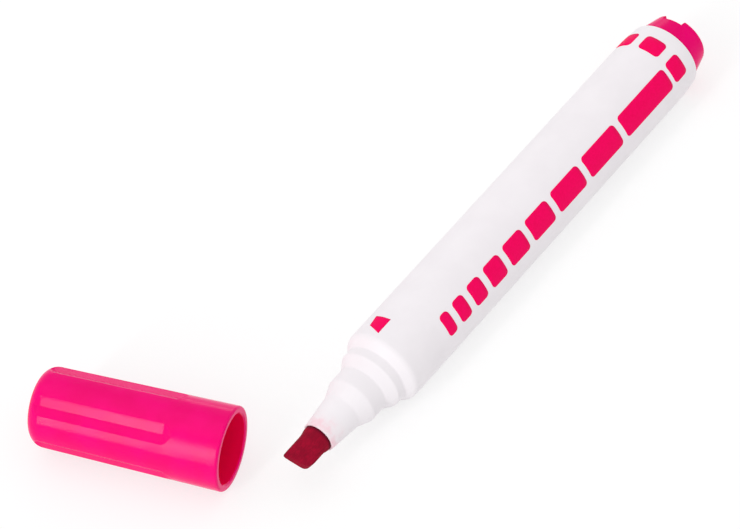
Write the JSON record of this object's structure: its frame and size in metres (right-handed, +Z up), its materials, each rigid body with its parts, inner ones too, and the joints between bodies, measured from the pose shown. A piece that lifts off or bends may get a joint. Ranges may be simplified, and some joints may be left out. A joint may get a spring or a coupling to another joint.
{
  "type": "board marker",
  "caption": "Dry-wipe board marker with a round white barrel, stepped nose, chisel felt nib, fibre ink core, end plug and a fluted pull-off cap lying beside it.",
  "frame": {"origin": "middle of the footprint of the pen and its cap, on the table that both lie on", "axes": "+X along the pen from the nib to the end plug, +Z up from the table, +Y from the pen towards the side that the cap lies on"},
  "size_m": [0.1525, 0.0597, 0.0168],
  "materials": {
    "white_plastic": "satin moulded polypropylene",
    "pink_plastic": "satin-gloss moulded polypropylene, neon pink",
    "nib_felt": "pressed felt soaked with pink ink",
    "ink_fibre": "bundled fibre soaked with pink ink",
    "wrap_film": "thin clear film tinted by the ink behind it",
    "seal_plastic": "soft moulded polyethylene, pink"
  },
  "bodies": {
    "pen": {"barrel": "white_plastic", "nib": "nib_felt", "ink_reservoir": "ink_fibre", "reservoir_wrap": "wrap_film", "end_plug": "pink_plastic"},
    "cap": {"cap_shell": "pink_plastic", "inner_cap": "seal_plastic"}
  },
  "joints": [
    {"name": "cap_pull", "type": "slide", "parent": "pen", "child": "cap", "axis": [-0.3057, 0.9521, 0], "range_m": [0, 0.0266]}
  ]
}
